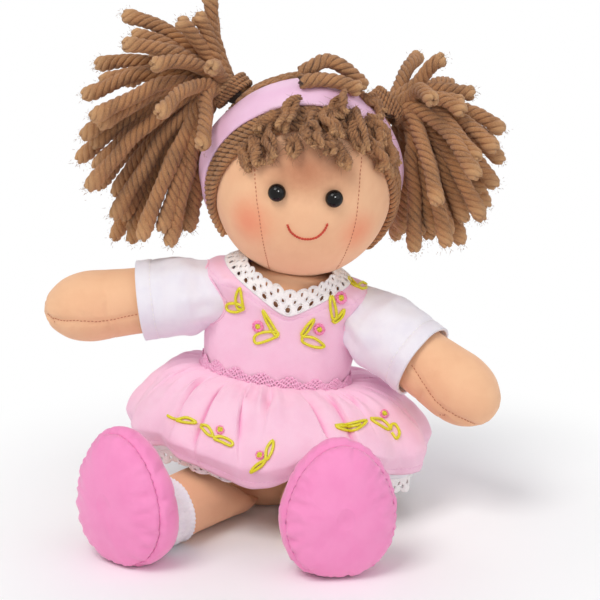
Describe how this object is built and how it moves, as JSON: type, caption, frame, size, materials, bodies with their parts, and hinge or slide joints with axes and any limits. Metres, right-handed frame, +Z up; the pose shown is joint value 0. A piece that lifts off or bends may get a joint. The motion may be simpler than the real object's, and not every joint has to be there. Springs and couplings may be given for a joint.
{
  "type": "rag doll",
  "caption": "Seated soft-bodied rag doll with yarn hair in two bunches, a gathered dress with lace and stuffed shoes; head, arms, legs and hair bunches move.",
  "frame": {"origin": "centre of the flat seat under the torso, on the surface the doll sits on", "axes": "+Z up, -Y the way the doll faces, +X to the doll's left"},
  "size_m": [0.1916, 0.1554, 0.213],
  "materials": {
    "skin_cloth": "plain woven cotton, smooth and stuffed taut",
    "filling": "loose polyester fibre",
    "dress_cotton": "plain woven cotton with a fine weave and embroidery",
    "white_cotton": "soft white cotton jersey",
    "lace": "scalloped cotton eyelet lace",
    "braid": "woven wavy braid",
    "satin": "folded satin ribbon",
    "thread": "embroidery thread",
    "knit": "ribbed knit",
    "shoe_cloth": "brushed felt-like cotton",
    "bead": "gloss moulded bead",
    "yarn": "four-ply twisted wool yarn"
  },
  "bodies": {
    "torso": {"torso_cloth": "skin_cloth", "torso_filling": "filling", "dress_bodice": "dress_cotton", "neck_lace": "lace", "waist_trim": "braid", "skirt": "dress_cotton", "petticoat": "white_cotton", "petticoat_lace": "lace"},
    "neck": {"neck": "skin_cloth"},
    "head": {"head_cloth": "skin_cloth", "head_filling": "filling", "right_eye": "bead", "left_eye": "bead", "mouth_thread": "thread", "wig_base": "yarn", "headband": "satin", "fringe": "yarn", "crown_yarn_arch": "yarn", "crown_yarn_low": "yarn"},
    "right_bunch": {"right_bunch": "yarn", "right_hair_tie": "yarn"},
    "left_bunch": {"left_bunch": "yarn", "left_hair_tie": "yarn"},
    "right_shoulder": {"right_arm_seam": "skin_cloth"},
    "right_arm": {"right_arm_cloth": "skin_cloth", "right_arm_filling": "filling", "right_sleeve": "white_cotton"},
    "right_leg": {"right_leg_cloth": "skin_cloth", "right_sock": "knit", "right_shoe_upper": "shoe_cloth", "right_shoe_sole": "shoe_cloth", "right_leg_filling": "filling"},
    "left_shoulder": {"left_arm_seam": "skin_cloth"},
    "left_arm": {"left_arm_cloth": "skin_cloth", "left_arm_filling": "filling", "left_sleeve": "white_cotton"},
    "left_leg": {"left_leg_cloth": "skin_cloth", "left_sock": "knit", "left_shoe_upper": "shoe_cloth", "left_shoe_sole": "shoe_cloth", "left_leg_filling": "filling"}
  },
  "joints": [
    {"name": "neck_turn", "type": "hinge", "parent": "torso", "child": "neck", "pos_m": [0.01085, 0, 0.09922], "axis": [0.1668, 0, 0.986], "range_deg": [-30, 30]},
    {"name": "head_nod", "type": "hinge", "parent": "neck", "child": "head", "pos_m": [0.01085, 0, 0.09922], "axis": [0.9913, 0.0698, -0.1112], "range_deg": [-8, 14]},
    {"name": "right_bunch_swing", "type": "hinge", "parent": "head", "child": "right_bunch", "pos_m": [-0.01405, 0.01265, 0.16896], "axis": [0, 1, 0], "range_deg": [-1.5, 14]},
    {"name": "left_bunch_swing", "type": "hinge", "parent": "head", "child": "left_bunch", "pos_m": [0.04852, 0.01706, 0.16194], "axis": [0, -1, 0], "range_deg": [-1.5, 14]},
    {"name": "right_arm_swing", "type": "hinge", "parent": "torso", "child": "right_shoulder", "pos_m": [-0.02189, 0, 0.08853], "axis": [0.1668, 0, 0.986], "range_deg": [-25, 50]},
    {"name": "right_arm_lift", "type": "hinge", "parent": "right_shoulder", "child": "right_arm", "pos_m": [-0.02189, 0, 0.08853], "axis": [0, 1, 0], "range_deg": [-20, 10]},
    {"name": "left_arm_swing", "type": "hinge", "parent": "torso", "child": "left_shoulder", "pos_m": [0.03825, 0, 0.07835], "axis": [-0.1668, 0, -0.986], "range_deg": [-35, 15]},
    {"name": "left_arm_lift", "type": "hinge", "parent": "left_shoulder", "child": "left_arm", "pos_m": [0.03825, 0, 0.07835], "axis": [-0.5446, -0.8387, 0], "range_deg": [-10, 28]},
    {"name": "right_leg_drop", "type": "hinge", "parent": "torso", "child": "right_leg", "pos_m": [-0.015, -0.01921, 0.00525], "axis": [1, 0, 0], "range_deg": [-45, 85], "deforming": ["skirt", "petticoat", "petticoat_lace"]},
    {"name": "left_leg_drop", "type": "hinge", "parent": "torso", "child": "left_leg", "pos_m": [0.015, -0.01921, 0.00525], "axis": [1, 0, 0], "range_deg": [-45, 85]}
  ]
}
